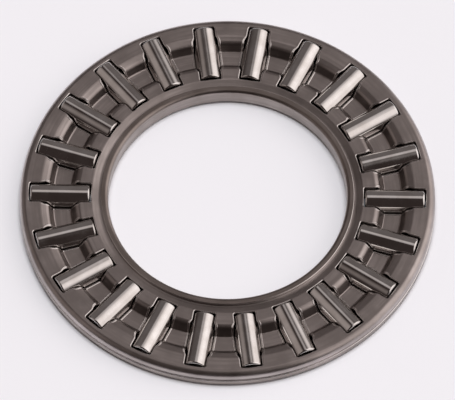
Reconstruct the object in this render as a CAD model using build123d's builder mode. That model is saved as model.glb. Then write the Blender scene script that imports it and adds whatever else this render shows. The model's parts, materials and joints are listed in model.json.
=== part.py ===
"""Axial needle roller and cage assembly: 22 rollers in a cage of two pressed steel rings.

Millimetres, +Z up. The origin is on the bearing's axis, in the plane that the rollers stand on.
The upper cage ring has an M-shaped section. The lower ring is a shallow tray that it sits in,
and the tray's bore wall is curled over the upper ring's inner edge, which holds the two together.
"""

from build123d import *
import os
from math import cos, radians, sin

# Bearing size
bore_radius = 10.05
outer_radius = 17.5
roller_count = 22
roller_diameter = 2.0
roller_length = 5.0
roller_edge_radius = 0.16
pitch_radius = 14.11                # from the bearing's axis to the middle of a roller

# Cage sheet and levels
sheet = 0.25
tray_bottom = 0.02                  # just clear of the lower raceway
land_top = 1.7
web_top = 0.85                      # between the lands
lip_top = 1.82                      # the curled lip stands proud of the land
ring_play = 0.01                    # between the two rings' cylindrical walls
tray_floor = tray_bottom + sheet
axis_height = roller_diameter / 2   # the rollers' axes

# Upper ring: corners of its M-shaped section
upper_wall_bottom = 0.45
wall_radius = 17.49                 # outer wall, above the lower ring's rim
wall_step_bottom = 0.81             # the wall steps in here, behind the rim
wall_step_top = 1.0
outer_land_radius = 15.75
outer_brow_radius = 15.12           # where the land's gentle slope turns steep
outer_brow_height = 1.56
outer_foot_radius = 14.7
inner_foot_radius = 13.27
inner_land_radius = 12.72
dish_start_radius = 11.45           # where the land dips to pass under the curled lip
dish_end_radius = 10.85

# Upper ring: bends, on the section's upper side
wall_step_foot_bend = 0.1
wall_step_bend = 0.27
outer_edge_bend = 0.55
outer_land_bend = 1.0
outer_brow_bend = 0.55
outer_foot_bend = 0.2
inner_foot_bend = 0.12
inner_land_bend = 0.6
dish_bend = 0.6

# Lower ring
rim_top = 0.79
tray_bend = 0.42
lip_bend = 0.3
lip_radius = 10.68                  # edge of the curled lip

# Pockets
pocket_length = 5.22
window_width = 1.82                 # between the retaining edges, narrower than a roller
wide_window_width = 2.12            # in the web and the steep slopes
widening_start_radius = 12.35
widening_end_radius = 12.75
narrowing_start_radius = 15.35
narrowing_end_radius = 15.9
tray_window_width = 1.6
window_corner = 0.14
edge_break = 0.05                   # coined lower edges of the tray's windows


def roller_plane(index):
    """The plane at the middle of one roller, with its normal along the roller's axis."""
    angle = radians(index * 360 / roller_count)
    centre = (pitch_radius * cos(angle), pitch_radius * sin(angle), axis_height)
    return Plane(origin=centre, x_dir=(0, 0, 1), z_dir=(cos(angle), sin(angle), 0))


def save(part):
    export_step(part, f"parts/{part.label}.step")


os.makedirs("parts", exist_ok=True)

# Window through the upper ring: narrow in the lands, wider where a roller is widest
with BuildPart() as upper_pocket:
    with BuildSketch(Plane.XY.offset(tray_floor)) as upper_window:
        with Locations((pitch_radius, 0)):
            Rectangle(pocket_length, window_width)
        with BuildLine():
            Polyline(
                (widening_start_radius, window_width / 2),
                (widening_end_radius, wide_window_width / 2),
                (narrowing_start_radius, wide_window_width / 2),
                (narrowing_end_radius, window_width / 2),
                (narrowing_end_radius, -window_width / 2),
                (narrowing_start_radius, -wide_window_width / 2),
                (widening_end_radius, -wide_window_width / 2),
                (widening_start_radius, -window_width / 2),
                close=True,
            )
        make_face()
        fillet(upper_window.vertices(), window_corner)
    extrude(amount=land_top)

# Window through the floor of the tray, with its lower edges coined
with BuildPart() as tray_pocket:
    with BuildSketch(Plane.XY):
        with Locations((pitch_radius, 0)):
            RectangleRounded(pocket_length, tray_window_width, window_corner)
    extrude(amount=tray_floor + sheet)
    with BuildSketch(Plane.XY.offset(tray_bottom)):
        with Locations((pitch_radius, 0)):
            RectangleRounded(
                pocket_length + 2 * edge_break,
                tray_window_width + 2 * edge_break,
                window_corner + edge_break,
            )
    extrude(amount=edge_break, taper=45)

# Upper ring: M-shaped section, drawn along its upper side
with BuildPart() as upper_cage_ring:
    with BuildSketch(Plane.XZ):
        with BuildLine():
            FilletPolyline(
                (outer_radius - sheet - ring_play, upper_wall_bottom),
                (outer_radius - sheet - ring_play, wall_step_bottom),
                (wall_radius, wall_step_top),
                (wall_radius, land_top),
                (outer_land_radius, land_top),
                (outer_brow_radius, outer_brow_height),
                (outer_foot_radius, web_top),
                (inner_foot_radius, web_top),
                (inner_land_radius, land_top),
                (dish_start_radius, land_top),
                (dish_end_radius, lip_top - sheet),
                (bore_radius + sheet + 6 * ring_play, lip_top - sheet),
                radius=[
                    wall_step_foot_bend,
                    wall_step_bend,
                    outer_edge_bend,
                    outer_land_bend,
                    outer_brow_bend,
                    outer_foot_bend,
                    inner_foot_bend,
                    inner_land_bend,
                    dish_bend,
                    dish_bend,
                ],
            )
            offset(amount=sheet, side=Side.LEFT)
        make_face()
    revolve(axis=Axis.Z)
    with PolarLocations(0, roller_count):
        add(upper_pocket.part, mode=Mode.SUBTRACT)
upper_cage_ring.part.label = "upper_cage_ring"
save(upper_cage_ring.part)

# Lower ring: U-shaped tray section, drawn along its outer side
with BuildPart() as lower_cage_ring:
    with BuildSketch(Plane.XZ):
        with BuildLine():
            FilletPolyline(
                (outer_radius, rim_top),
                (outer_radius, tray_bottom),
                (bore_radius, tray_bottom),
                (bore_radius, lip_top),
                (lip_radius, lip_top),
                radius=[tray_bend, tray_bend, lip_bend],
            )
            offset(amount=sheet, side=Side.RIGHT)
        make_face()
    revolve(axis=Axis.Z)
    with PolarLocations(0, roller_count):
        add(tray_pocket.part, mode=Mode.SUBTRACT)
lower_cage_ring.part.label = "lower_cage_ring"
save(lower_cage_ring.part)

# Rollers, numbered counter-clockwise from +X
for index in range(roller_count):
    with BuildPart(roller_plane(index)) as roller:
        Cylinder(radius=roller_diameter / 2, height=roller_length)
        fillet(roller.edges().filter_by(GeomType.CIRCLE), radius=roller_edge_radius)
    roller.part.label = f"roller_{index + 1:02d}"
    save(roller.part)
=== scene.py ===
import json
from math import asin, ceil, cos, pi, radians, sin, tan

import bpy
import numpy as np
from mathutils import Matrix, Vector

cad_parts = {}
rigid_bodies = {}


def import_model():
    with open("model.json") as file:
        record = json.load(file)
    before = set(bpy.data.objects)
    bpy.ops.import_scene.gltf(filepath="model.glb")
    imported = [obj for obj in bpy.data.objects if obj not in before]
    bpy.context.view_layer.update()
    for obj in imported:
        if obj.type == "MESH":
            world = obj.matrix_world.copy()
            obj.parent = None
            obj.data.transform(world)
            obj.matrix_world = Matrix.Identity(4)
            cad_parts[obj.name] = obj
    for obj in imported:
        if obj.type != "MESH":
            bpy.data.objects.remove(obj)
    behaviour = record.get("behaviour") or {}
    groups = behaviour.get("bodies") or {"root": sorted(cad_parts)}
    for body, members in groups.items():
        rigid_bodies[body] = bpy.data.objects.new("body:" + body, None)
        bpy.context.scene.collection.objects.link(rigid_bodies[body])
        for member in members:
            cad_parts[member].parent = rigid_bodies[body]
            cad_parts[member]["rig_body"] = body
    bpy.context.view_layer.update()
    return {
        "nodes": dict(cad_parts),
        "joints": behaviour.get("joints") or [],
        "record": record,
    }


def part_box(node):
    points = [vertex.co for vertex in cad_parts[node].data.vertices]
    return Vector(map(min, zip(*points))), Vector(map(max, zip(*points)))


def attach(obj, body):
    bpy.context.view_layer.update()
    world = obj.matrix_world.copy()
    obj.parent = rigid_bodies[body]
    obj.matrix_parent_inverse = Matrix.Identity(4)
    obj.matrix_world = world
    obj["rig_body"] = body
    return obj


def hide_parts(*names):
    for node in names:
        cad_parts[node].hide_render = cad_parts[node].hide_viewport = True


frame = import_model()

MM = 0.001

# Sizes read from the frame, in metres
tray_low, tray_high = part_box("lower_cage_ring")
upper_low, upper_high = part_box("upper_cage_ring")
roller_low, roller_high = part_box("roller_01")
mounts = {mount["name"]: mount for mount in frame["record"]["mounts"]}
spins = [joint for joint in frame["joints"] if joint["name"].endswith("_spin")]

outer_radius = tray_high.x
bore_radius = mounts["bore"]["dims"]["r_mm"] * MM
tray_bottom = tray_low.z
lip_top = tray_high.z
land_top = upper_high.z
upper_wall_bottom = upper_low.z
upper_radius = upper_high.x
roller_radius = (roller_high.z - roller_low.z) / 2
roller_length = roller_high.x - roller_low.x
pitch_radius = (roller_high.x + roller_low.x) / 2
axis_height = roller_low.z + roller_radius
pitch_angle = 2 * pi / len(spins)

# Section of the upper ring: corners and bends of its upper side
sheet = 0.25 * MM
web_top = 0.85 * MM
upper_wall_radius = 17.24 * MM
wall_step_bottom = 0.81 * MM
wall_step_top = 1.0 * MM
outer_land_radius = 15.75 * MM
outer_brow_radius = 15.12 * MM
outer_brow_height = 1.56 * MM
outer_foot_radius = 14.7 * MM
inner_foot_radius = 13.27 * MM
inner_land_radius = 12.72 * MM
dish_start_radius = 11.45 * MM
dish_end_radius = 10.85 * MM
bore_wall_play = 0.06 * MM
upper_inner_radius = bore_radius + sheet + bore_wall_play
upper_bends = [bend * MM for bend in (0.1, 0.27, 0.55, 1.0, 0.55, 0.2, 0.12, 0.6, 0.6, 0.6)]

# Section of the lower ring
rim_top = 0.79 * MM
lip_radius = 10.68 * MM
lower_bends = [0.3 * MM, 0.42 * MM, 0.42 * MM]

# Windows of both rings
window_half_length = 2.61 * MM
window_corner = 0.14 * MM
window_half_width = 0.91 * MM
wide_window_half_width = 1.06 * MM
widening_start, widening_end = 12.35 * MM, 12.75 * MM
narrowing_start, narrowing_end = 15.35 * MM, 15.9 * MM
tray_window_half_width = 0.8 * MM

# Rounded edges, and the low bead that the punch raises beside a window's wide part
edge_round = 0.05 * MM
window_round = 0.09 * MM
roller_edge_round = 0.16 * MM
bead_width = 0.12 * MM
bead_height = 0.034 * MM
bead_least_share = 0.12

# The burnish and painted shade attribute: -1 is sheet with painted shade (a dark colour standing in
# for shade), 0 is plain sheet and 1 is polished
sheet_end_burnish = 0.8
# The window's cut wall gets full painted shade, a dark colour that stands in for the shade in the
# gap beside each roller
window_rim_burnish, window_wall_painted_shade = 1.1, -1.0
# Painted shade on the steep slopes beside the web: their colour darkens between these two slopes
painted_shade_start_slope, painted_shade_full_slope = 0.88, 0.62      # upward part of a slope's normal


def upper_window(radius):
    """Half the width of an upper window: narrow in the lands, wider where a roller is widest."""
    widening = (radius - widening_start) / (widening_end - widening_start)
    narrowing = (narrowing_end - radius) / (narrowing_end - narrowing_start)
    share = max(0, min(1, widening, narrowing))
    share = share * share * (3 - 2 * share)
    return window_half_width + share * (wide_window_half_width - window_half_width)


def tray_window(radius):
    """Half the width of a tray window, the same at each radius."""
    return tray_window_half_width


# Geometry ---------------------------------------------------------------------------------


def bent_path(corners, bends):
    """A polyline with rounded corners, as (point, normal) pairs; the normals point to its right."""
    slope_steps, bend_steps = 7, 9
    least_slope = 0.1
    corners = [Vector(corner) for corner in corners]
    corners[0] += (corners[1] - corners[0]).normalized() * edge_round
    corners[-1] += (corners[-2] - corners[-1]).normalized() * edge_round
    stations = []
    start = corners[0]
    for here, there, bend in zip(corners[:-1], corners[1:], [*bends, None]):
        along = (there - here).normalized()
        normal = Vector((along.y, -along.x))
        stop = there
        if bend:
            after = (corners[corners.index(there) + 1] - there).normalized()
            turn = along.angle(after)
            cut = bend * tan(turn / 2)
            stop = there - along * cut
        sloping = min(abs(along.x), abs(along.y)) > least_slope
        steps = slope_steps if sloping and (stop - start).length > sheet else 1
        for step in range(steps):
            stations.append((start.lerp(stop, step / steps), normal))
        if not bend:
            stations.append((stop, normal))
            break
        side = 1 if along.cross(after) > 0 else -1
        centre = stop + side * bend * Vector((-along.y, along.x))
        count = max(2, ceil(bend_steps * turn / (pi / 2)))
        for step in range(count):
            swing = Matrix.Rotation(side * turn * step / count, 2)
            stations.append((centre + swing @ (stop - centre), swing @ normal))
        start = there + after * cut
    return stations


def with_stations(stations, radii):
    """The same path with extra stations where it crosses each of the given radii."""
    for radius in radii:
        for index in range(len(stations) - 1):
            (a, normal), (b, _) = stations[index], stations[index + 1]
            if (a.x - radius) * (b.x - radius) < 0:
                share = (radius - a.x) / (b.x - a.x)
                stations.insert(index + 1, (a.lerp(b, share), normal))
                break
    return stations


def mesh_object(name, points, normals, faces, burnish_and_painted_shade, material, node):
    """A smooth mesh with exact normals, which stands for a CAD node."""
    points, normals = np.array(points), np.array(normals)
    ordered = []
    for face in faces:
        a, b, c = points[face[0]], points[face[1]], points[face[2]]
        outward = normals[face[0]] + normals[face[1]] + normals[face[2]]
        if np.dot(np.cross(b - a, c - a), outward) < 0:
            face = face[::-1]
        ordered.append(face)
    mesh = bpy.data.meshes.new(name)
    mesh.from_pydata(points.tolist(), [], ordered)
    mesh.attributes.new("burnish_and_painted_shade", "FLOAT", "POINT").data.foreach_set("value", burnish_and_painted_shade)
    mesh.polygons.foreach_set("use_smooth", [True] * len(mesh.polygons))
    mesh.normals_split_custom_set_from_vertices(normals.tolist())
    mesh.materials.append(material)
    piece = bpy.data.objects.new(name, mesh)
    bpy.context.scene.collection.objects.link(piece)
    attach(piece, frame["nodes"][node]["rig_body"])
    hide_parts(node)
    return piece


def pressed_ring(name, node, corners, bends, half_width, bead, material):
    """A ring of sheet, pressed to a section, with one window for each roller.

    The section's outer side is the path through corners; its inner side lies one sheet behind it.
    Rows run along the section and columns run round the ring, closer together beside the windows.
    half_width gives half a window's width at a radius, and bead is the height of its raised edge.
    """
    window_steps, round_steps, corner_steps = 6, 3, 4
    bead_steps, plain_steps = 4, 6
    bar_steps = 2 * bead_steps + plain_steps
    inner_end = pitch_radius - window_half_length - window_round
    outer_end = pitch_radius + window_half_length + window_round
    reach = window_corner + window_round
    sweep = [sin(pi / 2 * step / corner_steps) for step in range(corner_steps)]
    inner_radii = [inner_end + reach * (1 - share) for share in sweep]
    outer_radii = [outer_end - reach * (1 - share) for share in sweep]
    end_radii = [inner_end, outer_end, *inner_radii, *outer_radii]
    path = with_stations(bent_path(corners, bends), end_radii)
    count = len(path)
    tiny = 1e-9
    open_rows = [
        row for row, (point, _) in enumerate(path)
        if inner_end - tiny <= point.x <= outer_end + tiny
    ]
    first, last = open_rows[0], open_rows[-1]

    def window_edge(point):
        """Half a window's width beside a point of the section, and how far its border turned."""
        to_end = max(min(point.x - inner_end, outer_end - point.x), 0)
        full = half_width(point.x) + window_round
        if to_end >= reach:
            return full, 0.0
        turned = asin(min((reach - to_end) / reach, 1))
        return full - reach * (1 - cos(turned)), turned

    # The closed section: outer side, rounded end, inner side, rounded end
    section = [(point, normal) for point, normal in path]
    arc = [pi / 2 * step / round_steps for step in range(1, round_steps + 1)]

    def rounded_end(station, along):
        point, normal = station
        behind = point - normal * sheet
        outer, inner = [], []
        for a in arc:
            place = point + edge_round * (along * sin(a) - normal * (1 - cos(a)))
            outer.append((place, normal * cos(a) + along * sin(a)))
        for a in reversed(arc):
            place = behind + edge_round * (along * sin(a) + normal * (1 - cos(a)))
            inner.append((place, along * sin(a) - normal * cos(a)))
        return outer + inner

    section += rounded_end(path[-1], (path[-1][0] - path[-2][0]).normalized())
    inner_start = len(section)
    section += [(point - normal * sheet, -normal) for point, normal in reversed(path)]
    section += list(reversed(rounded_end(path[0], (path[0][0] - path[1][0]).normalized())))

    def inner_row(row):
        return inner_start + count - 1 - row

    open_set = set(open_rows) | {inner_row(row) for row in open_rows}
    end_edge = window_edge(path[first][0])[0]
    full_widening = wide_window_half_width - window_half_width
    points, normals, burnish_and_painted_shade, faces, index = [], [], [], [], {}

    def add(point, normal, shine_and_painted_shade):
        points.append(tuple(point))
        normals.append(tuple(normal))
        burnish_and_painted_shade.append(shine_and_painted_shade)
        return len(points) - 1

    def column_angle(row, column):
        """The angle from a window's middle to a column, and the bead's height share and slope."""
        point = section[row][0]
        if row in open_set:
            edge = asin(window_edge(point)[0] / point.x)
        else:
            edge = asin(end_edge / path[first if point.x < pitch_radius else last][0].x)
        if column <= window_steps:
            return edge * (2 * column / window_steps - 1), 0, 0
        step = column - window_steps
        bar = (pitch_angle - 2 * edge) * point.x
        if step <= bead_steps:
            place = bead_width * step / bead_steps
        elif step < bar_steps - bead_steps:
            place = bead_width + (bar - 2 * bead_width) * (step - bead_steps) / plain_steps
        else:
            place = bar - bead_width * (bar_steps - step) / bead_steps
        phase = min(place, bar - place, bead_width) / bead_width
        rise = sin(pi * phase) ** 2
        slope = sin(2 * pi * phase) * (pi / bead_width) * (1 if place < bar / 2 else -1)
        return edge + place / point.x, rise, slope

    def vertex(row, window, column):
        columns = window_steps + bar_steps
        window, column = (window + column // columns) % len(spins), column % columns
        key = (row, window, column)
        if key not in index:
            point, normal = section[row]
            turn, rise, slope = column_angle(row, column)
            angle = window * pitch_angle + turn
            around = Vector((cos(angle), sin(angle), 0))
            facing = around * normal.x + Vector((0, 0, normal.y))
            height, shine_and_painted_shade = 0, 0.0
            if bead and row in open_set and row < count:
                widened = (half_width(point.x) - window_half_width) / full_widening
                height = bead * max(bead_least_share, widened)
                shine_and_painted_shade = rise * widened
                # Painted shade: steep slopes between web and land get a darker colour that stands
                # in for their shade
                painted_shade = (painted_shade_start_slope - abs(normal.y)) / (painted_shade_start_slope - painted_shade_full_slope)
                if web_top < point.y < land_top and painted_shade > 0:
                    shine_and_painted_shade -= min(painted_shade, 1) * (1 - rise)
            if count <= row < inner_start or row >= inner_start + count:
                shine_and_painted_shade = sheet_end_burnish
            place = around * point.x + Vector((0, 0, point.y)) + facing * rise * height
            facing -= Vector((-around.y, around.x, 0)) * slope * height
            index[key] = add(place, facing.normalized(), shine_and_painted_shade)
        return index[key]

    rows = len(section)
    for window in range(len(spins)):
        for row in range(rows):
            after = (row + 1) % rows
            for column in range(window_steps + bar_steps):
                if column < window_steps and row in open_set and after in open_set:
                    continue
                quad = [(row, column), (row, column + 1), (after, column + 1), (after, column)]
                faces.append([vertex(r, window, c) for r, c in quad])

    # The border of each window: a polished rim, and below it the cut wall, darkened with painted
    # shade for the gap beside the roller
    border = [(row, window_steps, 1) for row in range(first, last)]
    border += [(last, column, 0) for column in range(window_steps, 0, -1)]
    border += [(row, 0, -1) for row in range(last, first, -1)]
    border += [(first, column, 0) for column in range(0, window_steps)]
    for window in range(len(spins)):
        middle = window * pitch_angle
        radial = Vector((cos(middle), sin(middle), 0))
        tangent = Vector((-sin(middle), cos(middle), 0))
        strips = []
        for row, column, side in border:
            turned = window_edge(path[row][0])[1]
            side = side or (1 if column == window_steps else -1 if column == 0 else 0)
            outward = 1 if path[row][0].x > pitch_radius else -1
            away = radial * outward * sin(turned) + tangent * side * cos(turned)
            away = away.normalized()
            outer = vertex(row, window, column)
            inner = vertex(inner_row(row), window, column)
            facing = Vector(normals[outer])
            top, under = Vector(points[outer]), Vector(points[inner])
            strip = [outer]
            for a in arc:
                place = top - away * window_round * sin(a) - facing * window_round * (1 - cos(a))
                shine_and_painted_shade = window_wall_painted_shade + (window_rim_burnish - window_wall_painted_shade) * cos(a)
                strip.append(add(place, facing * cos(a) - away * sin(a), shine_and_painted_shade))
            for a in reversed(arc):
                place = under - away * window_round * sin(a) + facing * window_round * (1 - cos(a))
                strip.append(add(place, -facing * cos(a) - away * sin(a), window_wall_painted_shade))
            strips.append(strip + [inner])
        for here, there in zip(strips, strips[1:] + strips[:1]):
            for step in range(len(here) - 1):
                faces.append([here[step], there[step], there[step + 1], here[step + 1]])
    return mesh_object(name, points, normals, faces, burnish_and_painted_shade, material, node)


def needle_roller(name, node, angle, material):
    """A ground roller with rounded end edges, lying along a radius of the cage."""
    around, edge_steps = 72, 5
    end_disc_share = 0.3
    half, flat = roller_length / 2, roller_radius - roller_edge_round
    outline = [(half, end_disc_share * flat, (1, 0)), (half, flat, (1, 0))]
    for step in range(1, edge_steps + 1):
        a = pi / 2 * step / edge_steps
        along = half - roller_edge_round * (1 - cos(a))
        outline.append((along, flat + roller_edge_round * sin(a), (cos(a), sin(a))))
    outline += [(-along, radius, (-end, out)) for along, radius, (end, out) in reversed(outline)]
    axis = Vector((cos(angle), sin(angle), 0))
    side = Vector((-sin(angle), cos(angle), 0))
    up = Vector((0, 0, 1))
    centre = axis * pitch_radius + up * axis_height
    points, normals, burnish_and_painted_shade, faces = [], [], [], []
    for along, radius, normal in outline:
        for step in range(around):
            a = 2 * pi * step / around
            out = side * cos(a) + up * sin(a)
            points.append(tuple(centre + axis * along + out * radius))
            normals.append(tuple(axis * normal[0] + out * normal[1]))
            burnish_and_painted_shade.append(abs(normal[0]))
    for row in range(len(outline) - 1):
        for step in range(around):
            after = (step + 1) % around
            quad = [(row, step), (row, after), (row + 1, after), (row + 1, step)]
            faces.append([r * around + s for r, s in quad])
    faces.append(list(range(around)))
    faces.append([(len(outline) - 1) * around + step for step in range(around)])
    return mesh_object(name, points, normals, faces, burnish_and_painted_shade, material, node)


# Materials --------------------------------------------------------------------------------


def new_material(name):
    material = bpy.data.materials.new(name)
    material.use_nodes = True
    nodes = material.node_tree.nodes
    nodes.clear()
    shader = nodes.new("ShaderNodeBsdfPrincipled")
    output = nodes.new("ShaderNodeOutputMaterial")
    material.node_tree.links.new(shader.outputs["BSDF"], output.inputs["Surface"])
    return material, nodes, material.node_tree.links, shader


def ring_grain(nodes, links, across, along):
    """A noise drawn out round the bearing's axis: fine across the section, long round the ring."""
    coordinates = nodes.new("ShaderNodeTexCoord")
    split = nodes.new("ShaderNodeSeparateXYZ")
    links.new(coordinates.outputs["Object"], split.inputs[0])
    flat = nodes.new("ShaderNodeCombineXYZ")
    links.new(split.outputs["X"], flat.inputs["X"])
    links.new(split.outputs["Y"], flat.inputs["Y"])
    length = nodes.new("ShaderNodeVectorMath")
    length.operation = "LENGTH"
    links.new(flat.outputs[0], length.inputs[0])
    level = nodes.new("ShaderNodeMath")
    level.operation = "ADD"
    links.new(length.outputs["Value"], level.inputs[0])
    links.new(split.outputs["Z"], level.inputs[1])
    fine = nodes.new("ShaderNodeMath")
    fine.operation = "MULTIPLY"
    fine.inputs[1].default_value = across / along
    links.new(level.outputs[0], fine.inputs[0])
    drawn = nodes.new("ShaderNodeCombineXYZ")
    links.new(split.outputs["X"], drawn.inputs["X"])
    links.new(split.outputs["Y"], drawn.inputs["Y"])
    links.new(fine.outputs[0], drawn.inputs["Z"])
    noise = nodes.new("ShaderNodeTexNoise")
    noise.inputs["Scale"].default_value = along
    noise.inputs["Detail"].default_value = 4
    links.new(drawn.outputs[0], noise.inputs["Vector"])
    return noise


def blotches(nodes, links, scale, detail=3):
    coordinates = nodes.new("ShaderNodeTexCoord")
    noise = nodes.new("ShaderNodeTexNoise")
    noise.inputs["Scale"].default_value = scale
    noise.inputs["Detail"].default_value = detail
    links.new(coordinates.outputs["Object"], noise.inputs["Vector"])
    return noise


def ramp(nodes, links, source, stops):
    node = nodes.new("ShaderNodeValToRGB")
    while len(node.color_ramp.elements) < len(stops):
        node.color_ramp.elements.new(0.5)
    for element, (position, colour) in zip(node.color_ramp.elements, stops):
        element.position = position
        element.color = (*colour, 1)
    links.new(source, node.inputs[0])
    return node


def mixed(nodes, links, factor, first, second, kind="RGBA"):
    node = nodes.new("ShaderNodeMix")
    node.data_type = kind
    sockets = [socket for socket in node.inputs if socket.enabled]
    outlet = next(socket for socket in node.outputs if socket.enabled)
    for socket, value in zip(sockets, (factor, first, second)):
        if isinstance(value, bpy.types.NodeSocket):
            links.new(value, socket)
        else:
            socket.default_value = value
    return outlet


def mapped(nodes, links, source, low, high, new_low, new_high):
    node = nodes.new("ShaderNodeMapRange")
    for socket, value in zip(node.inputs[1:5], (low, high, new_low, new_high)):
        socket.default_value = value
    links.new(source, node.inputs[0])
    return node.outputs[0]


def cage_steel(name, dark, light, polished):
    """Pressed sheet steel: fine draw lines round the ring, faint stains, burnish, and painted shade
    that darkens steep slopes and window walls.
    """
    # The colour of the painted shade, and the most of it that any sheet gets
    painted_shade_colour, painted_shade_most = (0.07, 0.055, 0.05, 1), 0.55
    material, nodes, links, shader = new_material(name)
    grain = ring_grain(nodes, links, across=4600, along=200)
    stains = blotches(nodes, links, 420)
    tone = ramp(nodes, links, stains.outputs["Fac"], [(0.36, dark), (0.66, light)])
    lines = mapped(nodes, links, grain.outputs["Fac"], 0.38, 0.62, 0.0, 0.7)
    drawn = mixed(nodes, links, lines, tone.outputs["Color"], (*dark, 1))
    edge = nodes.new("ShaderNodeAttribute")
    edge.attribute_name = "burnish_and_painted_shade"
    # Painted shade: sheet below zero on the attribute is darkened towards the painted shade colour
    painted_shade = mapped(nodes, links, edge.outputs["Fac"], -1, 0, painted_shade_most, 0)
    with_painted_shade = mixed(nodes, links, painted_shade, drawn, painted_shade_colour)
    colour = mixed(nodes, links, edge.outputs["Fac"], with_painted_shade, (*polished, 1))
    links.new(colour, shader.inputs["Base Color"])
    shader.inputs["Metallic"].default_value = 1.0
    satin = mapped(nodes, links, grain.outputs["Fac"], 0.3, 0.7, 0.3, 0.4)
    rough = mixed(nodes, links, edge.outputs["Fac"], satin, 0.1, "FLOAT")
    links.new(rough, shader.inputs["Roughness"])
    bump = nodes.new("ShaderNodeBump")
    bump.inputs["Strength"].default_value = 0.4
    bump.inputs["Distance"].default_value = 0.01 * MM
    links.new(grain.outputs["Fac"], bump.inputs["Height"])
    links.new(bump.outputs[0], shader.inputs["Normal"])
    return material


def roller_steel():
    """Ground and polished bearing steel with a faint haze in its tone and roughness."""
    material, nodes, links, shader = new_material("polished_roller_steel")
    haze = blotches(nodes, links, 900, 5)
    tones = [(0.35, (0.69, 0.665, 0.645)), (0.65, (0.8, 0.785, 0.775))]
    tone = ramp(nodes, links, haze.outputs["Fac"], tones)
    links.new(tone.outputs["Color"], shader.inputs["Base Color"])
    shader.inputs["Metallic"].default_value = 1.0
    rough = mapped(nodes, links, haze.outputs["Fac"], 0.3, 0.7, 0.08, 0.14)
    links.new(rough, shader.inputs["Roughness"])
    return material


def floor_material():
    material, nodes, links, shader = new_material("pale_paper")
    soft = blotches(nodes, links, 30, 2)
    tones = [(0.3, (0.85, 0.855, 0.893)), (0.7, (0.86, 0.865, 0.903))]
    tone = ramp(nodes, links, soft.outputs["Fac"], tones)
    links.new(tone.outputs["Color"], shader.inputs["Base Color"])
    shader.inputs["Roughness"].default_value = 0.9
    shader.inputs["Specular IOR Level"].default_value = 0.1
    return material


# Light and camera -------------------------------------------------------------------------


def direction(azimuth, elevation):
    """A unit vector; azimuth 0 is +X and 90 is +Y, in degrees."""
    azimuth, elevation = radians(azimuth), radians(elevation)
    flat = cos(elevation)
    return Vector((flat * cos(azimuth), flat * sin(azimuth), sin(elevation)))


def studio_sky(ambient, glows):
    """A dim room with soft glows. Each is (azimuth, elevation, full angle, fade angle, colour)."""
    world = bpy.data.worlds.new("studio")
    bpy.context.scene.world = world
    world.use_nodes = True
    nodes, links = world.node_tree.nodes, world.node_tree.links
    background = nodes["Background"]
    coordinates = nodes.new("ShaderNodeTexCoord")
    total = (*ambient, 1)
    for azimuth, elevation, full, fade, colour in glows:
        toward = nodes.new("ShaderNodeVectorMath")
        toward.operation = "DOT_PRODUCT"
        toward.inputs[1].default_value = direction(azimuth, elevation)
        links.new(coordinates.outputs["Generated"], toward.inputs[0])
        fall = nodes.new("ShaderNodeMapRange")
        fall.interpolation_type = "SMOOTHSTEP"
        fall.inputs["From Min"].default_value = cos(radians(fade))
        fall.inputs["From Max"].default_value = cos(radians(full))
        links.new(toward.outputs["Value"], fall.inputs["Value"])
        glow = nodes.new("ShaderNodeMix")
        glow.data_type = "RGBA"
        glow.blend_type = "ADD"
        sockets = [socket for socket in glow.inputs if socket.enabled]
        links.new(fall.outputs[0], sockets[0])
        if isinstance(total, tuple):
            sockets[1].default_value = total
        else:
            links.new(total, sockets[1])
        sockets[2].default_value = (*colour, 1)
        total = next(socket for socket in glow.outputs if socket.enabled)
    links.new(total, background.inputs["Color"])


def soft_lamp(name, azimuth, elevation, distance, size, power, colour):
    """A round lamp aimed at the origin, which the metal doesn't mirror."""
    lamp = bpy.data.lights.new(name, "AREA")
    lamp.shape = "DISK"
    lamp.size = size
    lamp.energy = power
    lamp.color = colour
    place = bpy.data.objects.new(name, lamp)
    place.visible_glossy = False
    bpy.context.scene.collection.objects.link(place)
    place.location = direction(azimuth, elevation) * distance
    place.rotation_euler = (-place.location).to_track_quat("-Z", "Y").to_euler()


def camera():
    """A long lens from the side that faces -Y, high enough to look into the windows."""
    azimuth, elevation, roll = -88.67, 59.41, 0.18
    distance, aim_shift = 619 * MM, 0.424 * MM
    lens, sensor, clip_start = 580.4, 36, 0.01
    data = bpy.data.cameras.new("camera")
    data.lens = lens
    data.sensor_width = sensor
    data.clip_start = clip_start
    view = bpy.data.objects.new("camera", data)
    bpy.context.scene.collection.objects.link(view)
    toward = direction(azimuth, elevation)
    upward = direction(azimuth + 180, 90 - elevation)
    aim = upward * aim_shift
    view.location = aim + toward * distance
    turn = (-toward).to_track_quat("-Z", "Y")
    view.rotation_euler = (turn.to_matrix() @ Matrix.Rotation(radians(-roll), 3, "Z")).to_euler()
    bpy.context.scene.camera = view


def paper_floor():
    """A large flat sheet of paper in the plane that the part stands on."""
    half_size = 1.5
    corners = [(x * half_size, y * half_size, 0) for x, y in ((-1, -1), (1, -1), (1, 1), (-1, 1))]
    data = bpy.data.meshes.new("floor")
    data.from_pydata(corners, [], [(0, 1, 2, 3)])
    data.materials.append(floor_material())
    floor = bpy.data.objects.new("floor", data)
    bpy.context.scene.collection.objects.link(floor)
    return floor


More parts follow.
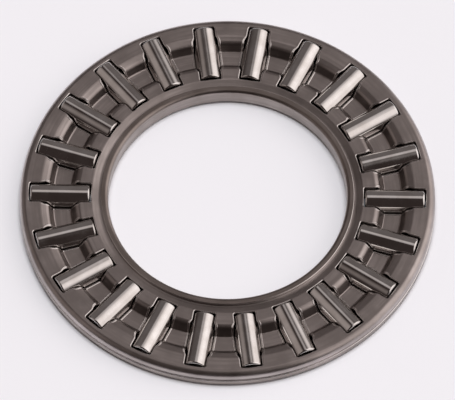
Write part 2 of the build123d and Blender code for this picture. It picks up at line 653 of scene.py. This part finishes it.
# The scene --------------------------------------------------------------------------------

camera()
bpy.context.scene.view_settings.view_transform = "Standard"
studio_sky(
    ambient=(0.036, 0.027, 0.025),
    glows=[
        (8, 33, 34, 50, (0.98, 0.9, 0.87)),
        (14, 40, 8, 26, (0.2, 0.2, 0.2)),
        (82, 71, 4, 17, (0.5, 0.46, 0.45)),
        (92, 22, 20, 52, (0.11, 0.1, 0.098)),
        (180, 35, 14, 38, (0.3, 0.26, 0.245)),
    ],
)
soft_lamp("overhead_lamp", 0, 88, 0.8, 0.4, 4.5, (1, 0.99, 1))

floor = paper_floor()

edge_shine = (0.96, 0.94, 0.93)
upper_steel = cage_steel(
    "upper_cage_steel",
    dark=(0.385, 0.347, 0.335),
    light=(0.56, 0.51, 0.495),
    polished=edge_shine,
)
lower_steel = cage_steel(
    "lower_cage_steel",
    dark=(0.28, 0.243, 0.225),
    light=(0.4, 0.353, 0.333),
    polished=edge_shine,
)
needle_steel = roller_steel()

pressed_ring(
    "upper_ring",
    "upper_cage_ring",
    [
        (upper_wall_radius, upper_wall_bottom),
        (upper_wall_radius, wall_step_bottom),
        (upper_radius, wall_step_top),
        (upper_radius, land_top),
        (outer_land_radius, land_top),
        (outer_brow_radius, outer_brow_height),
        (outer_foot_radius, web_top),
        (inner_foot_radius, web_top),
        (inner_land_radius, land_top),
        (dish_start_radius, land_top),
        (dish_end_radius, lip_top - sheet),
        (upper_inner_radius, lip_top - sheet),
    ],
    upper_bends,
    upper_window,
    bead_height,
    upper_steel,
)
pressed_ring(
    "lower_ring",
    "lower_cage_ring",
    [
        (lip_radius, lip_top),
        (bore_radius, lip_top),
        (bore_radius, tray_bottom),
        (outer_radius, tray_bottom),
        (outer_radius, rim_top),
    ],
    lower_bends,
    tray_window,
    0,                              # no bead
    lower_steel,
)
for number, joint in enumerate(spins):
    body = joint["child"]
    node = next(node for node, owner in frame["nodes"].items() if owner["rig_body"] == body)
    needle_roller(f"needle_{number + 1:02d}", node, number * pitch_angle, needle_steel)
